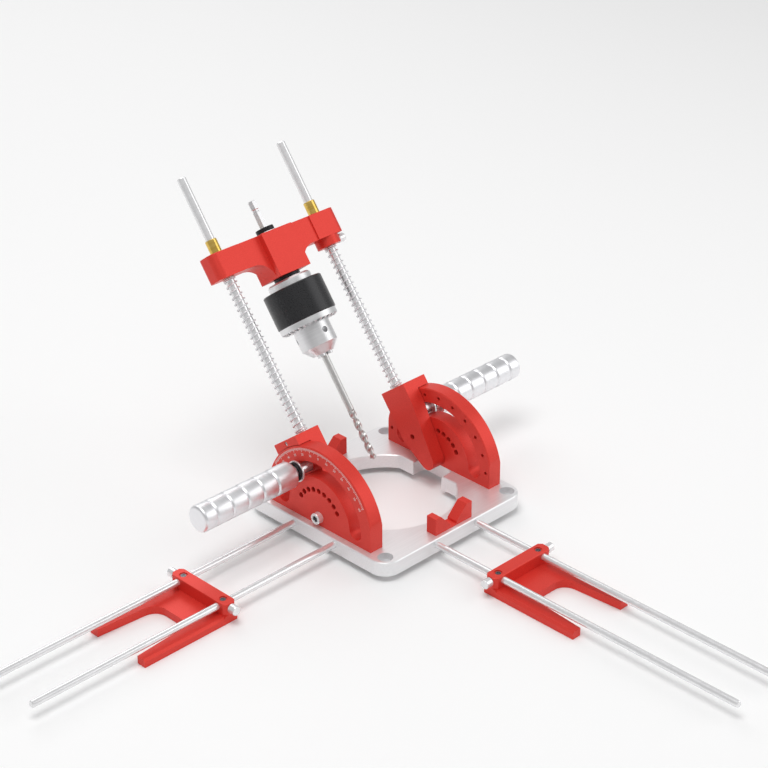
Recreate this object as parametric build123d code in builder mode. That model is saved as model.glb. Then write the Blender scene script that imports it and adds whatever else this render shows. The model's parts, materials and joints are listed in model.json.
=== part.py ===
from build123d import *
from math import cos, pi, radians, sin
import os

os.makedirs("parts", exist_ok=True)

# Drill guide: a square base plate carries two upright protractors, between which a frame of two
# sprung guide rods tilts. A carriage with a keyed chuck slides down the rods, and two fences on
# long rods stand off from the left and front edges.
# The origin is the centre of the base plate's underside, +Z is up, +X points to the right handle
# and +Y to the rear. At rest the guide rods lean back towards +Y.

# Base plate
plate_side = 168.0
plate_thickness = 12.8
plate_corner_r = 15.0
edge_break = 0.8
window_r = 61.0
window_flat_x = 51.0
notch_reach = 65.0
notch_half_width = 17.0
notch_corner_r = 4.0
corner_hole_pitch = 146.0
corner_hole_r = 3.25
corner_sink_r = 6.5
corner_sink_depth = 6.8

# Rods that carry the fences, fixed in blind holes of the plate's left and front edges
edge_rod_r = 3.0
edge_rod_height = 7.6
edge_rod_offset = 24.0
edge_rod_socket = 22.0
edge_rod_length = 330.0
edge_grub_r = 2.0
edge_grub_inset = 10.0

# Tilt axle, measured above the plate's top, and the lean of the guide rods at rest
pivot_above_plate = 8.0
tilt_angle = 37.5

# Upright protractors
protractor_inner_x = 64.0
protractor_outer_x = 77.6
protractor_r = 62.8
protractor_half_length = 60.6
slot_mid_r = 43.2
slot_width = 13.6
slot_end_angle = 5.0
index_hole_ring_r = 24.8
index_hole_r = 2.4
index_hole_count = 9
index_hole_step = 15.0
rim_hole_ring_r = 56.4
rim_hole_r = 1.6
rim_hole_count = 11
rim_hole_step = 16.8
rim_hole_depth = 4.0

# Hexagon sockets of grub screws and axle pins, as a share of their own radius
socket_share = 0.6

# Screws that hold the protractors and V blocks down from below
base_screw_r = 2.0
base_screw_clearance_r = 2.2
base_screw_head_r = 3.5
base_screw_head_height = 4.0
base_screw_sink_r = 3.8
base_screw_sink_depth = 4.4
base_screw_socket_r = 1.7
base_screw_grip = 7.0
protractor_screw_y = (31.0, 54.0)

# V blocks on the plate's front and rear edges
v_block_width = 43.0
v_block_depth = 10.4
v_block_height = 15.6
v_block_inner_y = 69.7
v_mouth_half_width = 15.2
v_root_half_width = 3.4
v_relief_half_width = 3.25
v_relief_floor = 1.6
v_screw_x = 15.0
v_screw_grip = 5.0

# Tilting arms
arm_inner_x = 50.2
arm_outer_x = 63.6
arm_half_width = 16.5
arm_top = 69.5
arm_front_shoulder = 52.0
arm_rear_shoulder = 24.0
arm_foot_r = 8.0
lip_bottom = 58.0
lip_outer_x = 76.0
lip_rim_clearance = 0.4
arm_index_hole_r = 2.5
arm_index_hole_turn = 7.5
axle_pin_r = 5.0
axle_pin_inner_x = 53.0
axle_pin_outer_x = 82.5
running_clearance = 0.05

# Guide rods and their return springs
rod_x = 56.0
rod_r = 4.0
rod_top = 304.0
rod_bottom = 52.0
rod_grub_height = 66.2
rod_grub_r = 2.0
spring_mean_r = 5.1
spring_wire_r = 0.62
spring_pitch = 5.2
spring_steps_per_turn = 8

# Clamp handles, on studs that run through the protractor slots into the arms
stud_height = 42.4
stud_r = 5.0
stud_inner_x = 53.0
stud_outer_x = 104.0
bright_washer_r = 9.4
bright_washer_thickness = 1.5
black_washer_r = 8.4
black_washer_thickness = 2.0
handle_neck_r = 6.4
handle_inner_x = 86.0
handle_outer_x = 186.0
handle_r = 11.7
handle_shoulder_break = 1.0
handle_rim_r = 2.5
handle_groove_count = 5
handle_groove_pitch = 16.5
handle_first_groove_inset = 13.0
handle_groove_half_width = 1.2

# Carriage, measured up the guide rods from the tilt axle
carriage_top = 234.6
lobe_bottom = 212.1
boss_bottom = 195.5
carriage_half_length = 70.8
lobe_inner_x = 40.8
lobe_half_depth = 11.0
lobe_corner_r = 7.0
web_half_depth = 9.7
boss_half_width = 17.0
boss_half_depth = 15.5
boss_arch_r = 16.6
bush_r = 5.15
bush_top = 246.9

# Spindle and its two bearings
spindle_r = 5.0
spindle_tunnel_r = 6.0
spindle_bottom = 176.0
spindle_top = 240.0
hex_shank_flats = 6.35
hex_shank_top = 265.0
bearing_r = 9.5
bearing_width = 5.0
bearing_seat_depth = 6.0
top_washer_r = 9.3
top_washer_thickness = 1.0
top_collar_r = 8.2
top_collar_top = 239.7
lower_flange_r = 11.9
lower_flange_bottom = 192.0
shank_groove_r = 1.6
shank_groove_drop = 9.0

# Keyed chuck
chuck_disc_r = 19.5
sleeve_top = 185.3
sleeve_bottom = 154.3
sleeve_r = 26.8
sleeve_bore_r = 17.0
gear_bottom = 147.9
gear_r = 26.0
gear_tooth_count = 30
gear_tooth_depth = 3.0
gear_gap_width = 3.4
gear_gap_length = 7.0
gear_gap_side_angle = 115.0
chuck_body_r = 16.4
chuck_edge_break = 1.5
nose_shoulder = 128.0
nose_tip = 122.0
nose_tip_r = 9.5
key_hole_height = 139.7
key_hole_r = 2.6
key_hole_depth = 6.5
nut_groove_r = 13.2
nut_top = 169.0
nut_bottom = 162.0
jaw_tilt = 8.0
jaw_r = 3.2
jaw_tip_offset = 4.5
jaw_bottom = 120.0
jaw_top = 168.0
jaw_flat_bottom = 117.0
jaw_flat_top = 163.0
jaw_opening_travel = 4.0
jaw_bore_spare = 1.0
jaw_nut_gap = 1.1
bit_r = 3.0
bit_point_height = 1.8
bit_chisel_share = 0.1
bit_tip = 22.4
bit_tail = 160.0
bit_bore_top = 172.0
flute_pitch = 22.0
flute_top = 68.0
flute_half_web = 0.9
flute_turn_step = 30.0

# Depth stop on the right guide rod
stop_r = 11.0
stop_bottom = 204.3
stop_gap = 0.05
stop_screw_height = 207.6

# Thumb screws, alike on the stop and the fences
thumb_shank_r = 2.0
thumb_head_r = 4.0
thumb_head_length = 7.0

# Fences
fence_left_x = -198.4
fence_front_y = -145.7
crossbar_depth = 12.5
crossbar_top = 12.0
fence_half_width = 33.4
fence_plate_top = 1.4
fence_plate_bottom = -5.5
fence_reach = 94.0
fork_root = 38.0
fork_root_half_width = 20.0
fork_end_half_width = 24.5
fork_corner_r = 12.0
tine_edge_cut = 1.8
bar_corner_cut = 3.0
bar_screw_r = 2.4
bar_screw_top = 11.4
bar_screw_sink_r = 3.4
bar_screw_sink_floor = 11.0

# The tilt axle lies along X, and the rods lean back from it
pivot_height = plate_thickness + pivot_above_plate
pivot = (0, 0, pivot_height)
lean_y = sin(radians(tilt_angle))
lean_z = cos(radians(tilt_angle))
spindle_axis = Axis(origin=pivot, direction=(0, lean_y, lean_z))

# Square to the rods: local x along the axle, and the plane's own normal runs up the rods
across_rods = Plane(origin=pivot, x_dir=(1, 0, 0), z_dir=(0, lean_y, lean_z))
# Facing the operator: local x along the axle, local y up the rods
facing_front = Plane(origin=pivot, x_dir=(1, 0, 0), z_dir=(0, -lean_z, lean_y))


def upright_side(side, distance):
    """A vertical plane on one side, facing outwards, with its centre on the tilt axle."""
    return Plane(origin=(side * distance, 0, pivot_height), x_dir=(0, side, 0), z_dir=(side, 0, 0))


def leaning_side(side, distance):
    """The same plane turned so that its local y runs up the guide rods."""
    return Plane(
        origin=(side * distance, 0, pivot_height),
        x_dir=(0, side * lean_z, -side * lean_y),
        z_dir=(side, 0, 0),
    )


def jaw_turn(jaw_number):
    """Where a jaw stands round the spindle, in degrees from +X."""
    return 90 + 120 * jaw_number


def jaw_plane(jaw_number):
    """Square to a jaw's slanted axis, at the jaw's lower end."""
    around = radians(jaw_turn(jaw_number))
    foot = across_rods.from_local_coords(
        Vector(jaw_tip_offset * cos(around), jaw_tip_offset * sin(around), jaw_bottom)
    )
    outward = sin(radians(jaw_tilt))
    slant_tip = across_rods.from_local_coords(
        Vector(
            (jaw_tip_offset + outward) * cos(around),
            (jaw_tip_offset + outward) * sin(around),
            jaw_bottom + cos(radians(jaw_tilt)),
        )
    )
    return Plane(origin=foot, z_dir=slant_tip - foot)


def radial_plane(around_degrees, distance, height):
    """Facing outwards from the spindle, with local y up the rods."""
    around = radians(around_degrees)
    centre = across_rods.from_local_coords(Vector(distance * cos(around), distance * sin(around), height))
    tangent = across_rods.from_local_coords(
        Vector(distance * cos(around) - sin(around), distance * sin(around) + cos(around), height)
    )
    axis_foot = across_rods.from_local_coords(Vector(0, 0, height))
    return Plane(origin=centre, x_dir=tangent - centre, z_dir=centre - axis_foot)


def key_hole_plane(jaw_number):
    """On the nose, half-way between two jaws."""
    return radial_plane(jaw_turn(jaw_number) + 60, chuck_body_r, key_hole_height)


def flute_section(turn_degrees):
    """Corners of the bit's fluted section: two lands with a point on either side of the web."""
    corners = []
    for around, reach in (
        (-28, bit_r),
        (0, bit_r),
        (28, bit_r),
        (90, flute_half_web),
        (152, bit_r),
        (180, bit_r),
        (208, bit_r),
        (270, flute_half_web),
    ):
        turned = radians(around + turn_degrees)
        corners.append((reach * cos(turned), reach * sin(turned)))
    return corners


def gear_gap_plane(around_degrees):
    """At the rim of the ring gear's lower face."""
    return radial_plane(around_degrees, gear_r + edge_break, gear_bottom)


sides = (("left", -1), ("right", 1))
protractor_mid_x = (protractor_inner_x + protractor_outer_x) / 2
v_block_mid_y = v_block_inner_y + v_block_depth / 2
protractor_screw_places = [
    (side * protractor_mid_x, turn * y) for side in (-1, 1) for turn in (-1, 1) for y in protractor_screw_y
]
v_screw_places = [(x, y) for x in (-v_screw_x, v_screw_x) for y in (-v_block_mid_y, v_block_mid_y)]
left_grub_places = [(-plate_side / 2 + edge_grub_inset, y) for y in (-edge_rod_offset, edge_rod_offset)]
front_grub_places = [(x, -plate_side / 2 + edge_grub_inset) for x in (-edge_rod_offset, edge_rod_offset)]
from_below = Location((0, 0, 0), (180, 0, 0))
from_above = Location((0, 0, plate_thickness), (0, 0, 0))

# Base plate: a rounded square with a round window that has two flats, and a notch in each flat
with BuildPart() as base_plate:
    with BuildSketch():
        RectangleRounded(plate_side, plate_side, plate_corner_r)
    extrude(amount=plate_thickness)
    with BuildSketch():
        Circle(window_r)
        Rectangle(2 * window_flat_x, 2 * window_r, mode=Mode.INTERSECT)
        RectangleRounded(2 * notch_reach, 2 * notch_half_width, notch_corner_r)
    extrude(amount=plate_thickness, mode=Mode.SUBTRACT)
    chamfer(base_plate.edges().group_by(Axis.Z)[-1], edge_break)
    with Locations(from_above):
        with GridLocations(corner_hole_pitch, corner_hole_pitch, 2, 2):
            CounterBoreHole(corner_hole_r, corner_sink_r, corner_sink_depth)
    with BuildSketch(Plane.YZ.offset(-plate_side / 2)):
        with Locations((-edge_rod_offset, edge_rod_height), (edge_rod_offset, edge_rod_height)):
            Circle(edge_rod_r)
    extrude(amount=edge_rod_socket, mode=Mode.SUBTRACT)
    with BuildSketch(Plane.XZ.offset(plate_side / 2)):
        with Locations((-edge_rod_offset, edge_rod_height), (edge_rod_offset, edge_rod_height)):
            Circle(edge_rod_r)
    extrude(amount=-edge_rod_socket, mode=Mode.SUBTRACT)
    with BuildSketch():
        with Locations(*left_grub_places, *front_grub_places):
            Circle(edge_grub_r)
    extrude(amount=edge_rod_height, mode=Mode.SUBTRACT)
    with Locations(from_below):
        with Locations(*protractor_screw_places, *v_screw_places):
            CounterBoreHole(base_screw_clearance_r, base_screw_sink_r, base_screw_sink_depth)
base_plate.part.label = "base_plate"
export_step(base_plate.part, "parts/base_plate.step")

# Rods for the fences: two out of the left edge and two out of the front edge
left_rod_plane = Plane.YZ.offset(-plate_side / 2 + edge_rod_socket)
front_rod_plane = Plane.XZ.offset(plate_side / 2 - edge_rod_socket)
edge_rods = (
    ("left_edge_rod_front", left_rod_plane, -edge_rod_offset, -edge_rod_length),
    ("left_edge_rod_rear", left_rod_plane, edge_rod_offset, -edge_rod_length),
    ("front_edge_rod_left", front_rod_plane, -edge_rod_offset, edge_rod_length),
    ("front_edge_rod_right", front_rod_plane, edge_rod_offset, edge_rod_length),
)
for rod_name, rod_plane, rod_offset, rod_run in edge_rods:
    with BuildPart() as edge_rod:
        with BuildSketch(rod_plane):
            with Locations((rod_offset, edge_rod_height)):
                Circle(edge_rod_r)
        extrude(amount=rod_run)
        chamfer(edge_rod.edges().filter_by(GeomType.CIRCLE), edge_break / 2)
    edge_rod.part.label = rod_name
    export_step(edge_rod.part, f"parts/{rod_name}.step")

# Grub screws that hold the four rods from the plate's underside
grub_top = edge_rod_height - edge_rod_r
with BuildPart() as edge_rod_grub_screws:
    with BuildSketch(Plane.XY.offset(edge_break)):
        with Locations(*left_grub_places, *front_grub_places):
            Circle(edge_grub_r)
            RegularPolygon(edge_grub_r * socket_share, 6, mode=Mode.SUBTRACT)
    extrude(amount=grub_top / 2)
    with BuildSketch(Plane.XY.offset(edge_break + grub_top / 2)):
        with Locations(*left_grub_places, *front_grub_places):
            Circle(edge_grub_r)
    extrude(amount=grub_top / 2 - edge_break)
edge_rod_grub_screws.part.label = "edge_rod_grub_screws"
export_step(edge_rod_grub_screws.part, "parts/edge_rod_grub_screws.step")

# Screws from below, eight into the protractors and four into the V blocks
for group_name, places, grip in (
    ("protractor_screws", protractor_screw_places, base_screw_grip),
    ("v_block_screws", v_screw_places, v_screw_grip),
):
    head_bottom = base_screw_sink_depth - base_screw_head_height
    with BuildPart() as base_screws:
        with BuildSketch(Plane.XY.offset(head_bottom)):
            with Locations(*places):
                Circle(base_screw_head_r)
        extrude(amount=base_screw_head_height)
        with BuildSketch(Plane.XY.offset(base_screw_sink_depth)):
            with Locations(*places):
                Circle(base_screw_r)
        extrude(amount=plate_thickness - base_screw_sink_depth + grip)
        with BuildSketch(Plane.XY.offset(head_bottom)):
            with Locations(*places):
                RegularPolygon(base_screw_socket_r, 6)
        extrude(amount=base_screw_head_height / 2, mode=Mode.SUBTRACT)
    base_screws.part.label = group_name
    export_step(base_screws.part, f"parts/{group_name}.step")

# V blocks: a right-angled notch for round stock, with a relief slot at its root
v_blocks = (("front_v_block", v_block_inner_y), ("rear_v_block", -v_block_inner_y - v_block_depth))
for block_name, block_start in v_blocks:
    with BuildPart() as v_block:
        with BuildSketch(Plane.XZ.offset(block_start)):
            with BuildLine():
                outline = Polyline(
                    (0, plate_thickness + v_relief_floor),
                    (v_relief_half_width, plate_thickness + v_relief_floor),
                    (v_relief_half_width, plate_thickness + v_root_half_width),
                    (v_mouth_half_width, plate_thickness + v_block_height),
                    (v_block_width / 2, plate_thickness + v_block_height),
                    (v_block_width / 2, plate_thickness),
                    (0, plate_thickness),
                )
                mirror(outline, about=Plane.YZ)
            make_face()
        extrude(amount=v_block_depth)
        with BuildSketch(Plane.XY.offset(plate_thickness)):
            with Locations(*v_screw_places):
                Circle(base_screw_r)
        extrude(amount=v_screw_grip, mode=Mode.SUBTRACT)
    v_block.part.label = block_name
    export_step(v_block.part, f"parts/{block_name}.step")

# Protractors: half discs on a straight foot, with an arc slot, a ring of index holes and, on the
# inner face, a ring of blind rim holes
protractor_thickness = protractor_outer_x - protractor_inner_x
first_index_angle = 90 - index_hole_step * (index_hole_count - 1) / 2
first_rim_angle = 90 - rim_hole_step * (rim_hole_count - 1) / 2
for side_name, side in sides:
    with BuildPart() as protractor:
        with BuildSketch(upright_side(side, protractor_inner_x)):
            Circle(protractor_r)
            with Locations((0, protractor_r / 2)):
                Rectangle(2 * protractor_half_length, protractor_r, mode=Mode.INTERSECT)
            with Locations((0, -pivot_above_plate / 2)):
                Rectangle(2 * protractor_half_length, pivot_above_plate)
        extrude(amount=protractor_thickness)
        chamfer(protractor.edges().filter_by(GeomType.CIRCLE), edge_break)
        with BuildSketch(upright_side(side, protractor_inner_x)):
            with BuildLine():
                slot_arc = CenterArc((0, 0), slot_mid_r, slot_end_angle, 180 - 2 * slot_end_angle)
            SlotArc(slot_arc, slot_width)
            Circle(axle_pin_r + running_clearance)
            with PolarLocations(
                index_hole_ring_r,
                index_hole_count,
                start_angle=first_index_angle,
                angular_range=180 - 2 * first_index_angle,
                endpoint=True,
            ):
                Circle(index_hole_r)
        extrude(amount=protractor_thickness, mode=Mode.SUBTRACT)
        with BuildSketch(upright_side(side, protractor_inner_x)):
            with PolarLocations(
                rim_hole_ring_r,
                rim_hole_count,
                start_angle=first_rim_angle,
                angular_range=180 - 2 * first_rim_angle,
                endpoint=True,
            ):
                Circle(rim_hole_r)
        extrude(amount=rim_hole_depth, mode=Mode.SUBTRACT)
        with BuildSketch(Plane.XY.offset(plate_thickness)):
            with Locations(*protractor_screw_places):
                Circle(base_screw_r)
        extrude(amount=base_screw_grip, mode=Mode.SUBTRACT)
    protractor.part.label = f"{side_name}_protractor"
    export_step(protractor.part, f"parts/{side_name}_protractor.step")

# Tilting arms: a broad head that narrows to a round foot on the axle, with a lip that follows the
# protractor's rim; the axle bore is blind, and the index hole lies half a step behind the middle
for side_name, side in sides:
    with BuildPart() as arm:
        with BuildSketch(leaning_side(side, arm_inner_x)):
            Circle(arm_foot_r)
            with BuildLine():
                Polyline(
                    (side * arm_half_width, arm_rear_shoulder),
                    (side * arm_half_width, arm_top),
                    (-side * arm_half_width, arm_top),
                    (-side * arm_half_width, arm_front_shoulder),
                    close=True,
                )
            make_face()
            make_hull()
        extrude(amount=arm_outer_x - arm_inner_x)
        with BuildSketch(leaning_side(side, arm_outer_x)):
            with Locations((0, (lip_bottom + arm_top) / 2)):
                Rectangle(2 * arm_half_width, arm_top - lip_bottom)
            Circle(protractor_r + lip_rim_clearance, mode=Mode.SUBTRACT)
        extrude(amount=lip_outer_x - arm_outer_x)
        chamfer(arm.faces().sort_by(spindle_axis)[-1].edges(), edge_break / 2)
        with BuildSketch(leaning_side(side, arm_inner_x)):
            with PolarLocations(index_hole_ring_r, 1, start_angle=90 - side * arm_index_hole_turn):
                Circle(arm_index_hole_r)
        extrude(amount=arm_outer_x - arm_inner_x, mode=Mode.SUBTRACT)
        with BuildSketch(leaning_side(side, axle_pin_inner_x)):
            Circle(axle_pin_r)
        extrude(amount=arm_outer_x - axle_pin_inner_x, mode=Mode.SUBTRACT)
        with BuildSketch(leaning_side(side, stud_inner_x - running_clearance)):
            with Locations((0, stud_height)):
                Circle(stud_r + running_clearance)
        extrude(amount=arm_outer_x - stud_inner_x + edge_break, mode=Mode.SUBTRACT)
        with BuildSketch(across_rods.offset(rod_bottom)):
            with Locations((side * rod_x, 0)):
                Circle(rod_r)
        extrude(amount=arm_top - rod_bottom, mode=Mode.SUBTRACT)
        with BuildSketch(leaning_side(side, lip_outer_x)):
            with Locations((0, rod_grub_height)):
                Circle(rod_grub_r)
        extrude(amount=rod_x - lip_outer_x, mode=Mode.SUBTRACT)
    arm.part.label = f"{side_name}_arm"
    export_step(arm.part, f"parts/{side_name}_arm.step")

# Axle pins: plain pins with a hexagon socket, fast in the arms and free to turn in the protractors
for side_name, side in sides:
    with BuildPart() as axle_pin:
        with BuildSketch(leaning_side(side, axle_pin_inner_x)):
            Circle(axle_pin_r)
        extrude(amount=axle_pin_outer_x - axle_pin_inner_x)
        chamfer(axle_pin.edges().filter_by(GeomType.CIRCLE), edge_break / 2)
        with BuildSketch(leaning_side(side, axle_pin_outer_x)):
            RegularPolygon(axle_pin_r * socket_share, 6)
        extrude(amount=-axle_pin_r, mode=Mode.SUBTRACT)
    axle_pin.part.label = f"{side_name}_axle_pin"
    export_step(axle_pin.part, f"parts/{side_name}_axle_pin.step")

# Guide rods, clamped in the arms' heads
for side_name, side in sides:
    with BuildPart() as guide_rod:
        with BuildSketch(across_rods.offset(rod_bottom)):
            with Locations((side * rod_x, 0)):
                Circle(rod_r)
        extrude(amount=rod_top - rod_bottom)
        chamfer(guide_rod.edges().filter_by(GeomType.CIRCLE).sort_by(spindle_axis)[-1], edge_break)
    guide_rod.part.label = f"{side_name}_guide_rod"
    export_step(guide_rod.part, f"parts/{side_name}_guide_rod.step")

# Grub screws through the arms' lips onto the guide rods
for side_name, side in sides:
    with BuildPart() as rod_grub_screw:
        with BuildSketch(leaning_side(side, rod_x + rod_r)):
            with Locations((0, rod_grub_height)):
                Circle(rod_grub_r)
        extrude(amount=lip_outer_x - edge_break - rod_x - rod_r)
        with BuildSketch(leaning_side(side, lip_outer_x - edge_break)):
            with Locations((0, rod_grub_height)):
                RegularPolygon(rod_grub_r * socket_share, 6)
        extrude(amount=-rod_grub_r, mode=Mode.SUBTRACT)
    rod_grub_screw.part.label = f"{side_name}_rod_grub_screw"
    export_step(rod_grub_screw.part, f"parts/{side_name}_rod_grub_screw.step")

# Return springs: a square-cornered coil of straight chords round each guide rod
spring_tops = {"left": lobe_bottom, "right": stop_bottom}
for side_name, side in sides:
    spring_run = spring_tops[side_name] - arm_top - 2 * spring_wire_r - 2 * running_clearance
    turns = round(spring_run / spring_pitch)
    steps = turns * spring_steps_per_turn
    coil_points = []
    for step in range(steps + 1):
        turn_angle = 2 * pi * step / spring_steps_per_turn
        coil_points.append(
            across_rods.from_local_coords(
                Vector(
                    side * rod_x + spring_mean_r * cos(turn_angle),
                    spring_mean_r * sin(turn_angle),
                    arm_top + spring_wire_r + running_clearance + spring_run * step / steps,
                )
            )
        )
    with BuildPart() as spring:
        with BuildLine() as coil:
            Polyline(*coil_points)
        with BuildSketch(coil.line ^ 0):
            RegularPolygon(spring_wire_r, 4)
        sweep(transition=Transition.RIGHT)
    spring.part.label = f"{side_name}_spring"
    export_step(spring.part, f"parts/{side_name}_spring.step")

# Washers between each protractor and its handle
bright_washer_x = protractor_outer_x + running_clearance
black_washer_x = bright_washer_x + bright_washer_thickness
for side_name, side in sides:
    for washer_name, washer_x, washer_r, washer_thickness in (
        ("bright_washer", bright_washer_x, bright_washer_r, bright_washer_thickness),
        ("black_washer", black_washer_x, black_washer_r, black_washer_thickness),
    ):
        with BuildPart() as washer:
            with BuildSketch(leaning_side(side, washer_x)):
                with Locations((0, stud_height)):
                    Circle(washer_r)
                    Circle(stud_r + running_clearance, mode=Mode.SUBTRACT)
            extrude(amount=washer_thickness)
        washer.part.label = f"{side_name}_{washer_name}"
        export_step(washer.part, f"parts/{side_name}_{washer_name}.step")

# Clamp handles: turned bars with ring grooves and a rounded rim, each on its own stud
handle_start_x = black_washer_x + black_washer_thickness + running_clearance
handle_axis = Axis(origin=across_rods.from_local_coords(Vector(0, 0, stud_height)), direction=(1, 0, 0))
first_groove_x = handle_outer_x - handle_first_groove_inset
for side_name, side in sides:
    with BuildPart() as handle:
        with BuildSketch(facing_front):
            with BuildLine():
                Polyline(
                    (side * handle_start_x, stud_height),
                    (side * handle_start_x, stud_height + handle_neck_r),
                    (side * handle_inner_x, stud_height + handle_neck_r),
                    (side * handle_inner_x, stud_height + handle_r - handle_shoulder_break),
                    (side * (handle_inner_x + handle_shoulder_break), stud_height + handle_r),
                    (side * handle_outer_x, stud_height + handle_r),
                    (side * handle_outer_x, stud_height),
                    close=True,
                )
            make_face()
            for groove in range(handle_groove_count):
                groove_x = first_groove_x - groove * handle_groove_pitch
                with Locations((side * groove_x, stud_height + handle_r)):
                    RegularPolygon(handle_groove_half_width, 4, mode=Mode.SUBTRACT)
        revolve(axis=handle_axis)
        outer_rim = handle.edges().filter_by(GeomType.CIRCLE).group_by(Axis.X)[-1 if side > 0 else 0]
        fillet(outer_rim, handle_rim_r)
        with BuildSketch(leaning_side(side, handle_start_x)):
            with Locations((0, stud_height)):
                Circle(stud_r)
        extrude(amount=stud_outer_x - handle_start_x, mode=Mode.SUBTRACT)
    handle.part.label = f"{side_name}_handle"
    export_step(handle.part, f"parts/{side_name}_handle.step")

    with BuildPart() as stud:
        with BuildSketch(leaning_side(side, stud_inner_x)):
            with Locations((0, stud_height)):
                Circle(stud_r)
        extrude(amount=stud_outer_x - stud_inner_x)
    stud.part.label = f"{side_name}_clamp_stud"
    export_step(stud.part, f"parts/{side_name}_clamp_stud.step")

# Carriage: two lobes on the guide rods, two webs, and a deeper square boss for the spindle
with BuildPart() as carriage:
    with BuildSketch(across_rods.offset(boss_bottom)) as plan:
        for side in (-1, 1):
            with Locations((side * (lobe_inner_x + carriage_half_length) / 2, 0)):
                Rectangle(carriage_half_length - lobe_inner_x, 2 * lobe_half_depth)
        lobe_ends = plan.vertices().group_by(Axis.X)
        fillet(lobe_ends[0] + lobe_ends[-1], lobe_corner_r)
        Rectangle(2 * rod_x, 2 * web_half_depth)
        Rectangle(2 * boss_half_width, 2 * boss_half_depth)
    extrude(amount=carriage_top - boss_bottom)
    with BuildSketch(facing_front.offset(boss_half_depth)):
        for side in (-1, 1):
            arch_x = side * (boss_half_width + boss_arch_r)
            with BuildLine():
                Line((side * boss_half_width, boss_bottom), (side * carriage_half_length, boss_bottom))
                Line((side * carriage_half_length, boss_bottom), (side * carriage_half_length, lobe_bottom))
                Line((side * carriage_half_length, lobe_bottom), (arch_x, lobe_bottom))
                RadiusArc((arch_x, lobe_bottom), (side * boss_half_width, boss_bottom), -side * boss_arch_r)
            make_face()
    extrude(amount=-2 * boss_half_depth, mode=Mode.SUBTRACT)
    chamfer(carriage.faces().sort_by(spindle_axis)[-1].edges(), edge_break / 2)
    with BuildSketch(across_rods.offset(boss_bottom)):
        Circle(spindle_tunnel_r)
        with Locations((-rod_x, 0), (rod_x, 0)):
            Circle(bush_r)
    extrude(amount=carriage_top - boss_bottom, mode=Mode.SUBTRACT)
    with BuildSketch(across_rods.offset(boss_bottom), across_rods.offset(carriage_top - bearing_seat_depth)):
        Circle(bearing_r)
    extrude(amount=bearing_seat_depth, mode=Mode.SUBTRACT)
carriage.part.label = "carriage"
export_step(carriage.part, "parts/carriage.step")

# Brass bushes, pressed into the carriage and running on the guide rods
for side_name, side in sides:
    with BuildPart() as bush:
        with BuildSketch(across_rods.offset(lobe_bottom)):
            with Locations((side * rod_x, 0)):
                Circle(bush_r)
                Circle(rod_r + running_clearance, mode=Mode.SUBTRACT)
        extrude(amount=bush_top - lobe_bottom)
        chamfer(bush.faces().sort_by(spindle_axis)[-1].edges().sort_by(SortBy.LENGTH)[-1], edge_break / 2)
    bush.part.label = f"{side_name}_bush"
    export_step(bush.part, f"parts/{side_name}_bush.step")

# Ball bearings at both ends of the boss, each as one closed ring with its two shield grooves
bearing_bore_r = spindle_r + running_clearance
for bearing_name, bearing_bottom in (
    ("lower_bearing", boss_bottom + bearing_seat_depth - bearing_width),
    ("upper_bearing", carriage_top - bearing_seat_depth),
):
    with BuildPart() as bearing:
        with BuildSketch(facing_front):
            with Locations(((bearing_bore_r + bearing_r) / 2, bearing_bottom + bearing_width / 2)):
                Rectangle(bearing_r - bearing_bore_r, bearing_width)
                with GridLocations(0, bearing_width, 1, 2):
                    Rectangle((bearing_r - spindle_r) / 2, edge_break, mode=Mode.SUBTRACT)
        revolve(axis=spindle_axis)
    bearing.part.label = bearing_name
    export_step(bearing.part, f"parts/{bearing_name}.step")

# Spindle: a plain shaft in the bearings, with a grooved hexagon shank for the drill driver
with BuildPart() as spindle:
    with BuildSketch(across_rods.offset(spindle_bottom)):
        Circle(spindle_r)
    extrude(amount=spindle_top - spindle_bottom)
    with BuildSketch(across_rods.offset(spindle_top)):
        RegularPolygon(hex_shank_flats / 2, 6, major_radius=False)
    extrude(amount=hex_shank_top - spindle_top)
    with BuildSketch(facing_front):
        with Locations((hex_shank_flats / 2 + shank_groove_r / 2, hex_shank_top - shank_groove_drop)):
            Circle(shank_groove_r)
    revolve(axis=spindle_axis, mode=Mode.SUBTRACT)
spindle.part.label = "spindle"
export_step(spindle.part, "parts/spindle.step")

# Rings on the spindle: a bright washer and a dark collar on top, and a dark flange under the boss
top_washer_bottom = carriage_top + running_clearance
for ring_name, ring_r, ring_bottom, ring_top in (
    ("top_washer", top_washer_r, top_washer_bottom, top_washer_bottom + top_washer_thickness),
    ("top_collar", top_collar_r, top_washer_bottom + top_washer_thickness, top_collar_top),
    ("lower_flange", lower_flange_r, lower_flange_bottom, boss_bottom - running_clearance),
):
    with BuildPart() as ring:
        with BuildSketch(across_rods.offset(ring_bottom)):
            Circle(ring_r)
            Circle(spindle_r, mode=Mode.SUBTRACT)
        extrude(amount=ring_top - ring_bottom)
    ring.part.label = ring_name
    export_step(ring.part, f"parts/{ring_name}.step")

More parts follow.
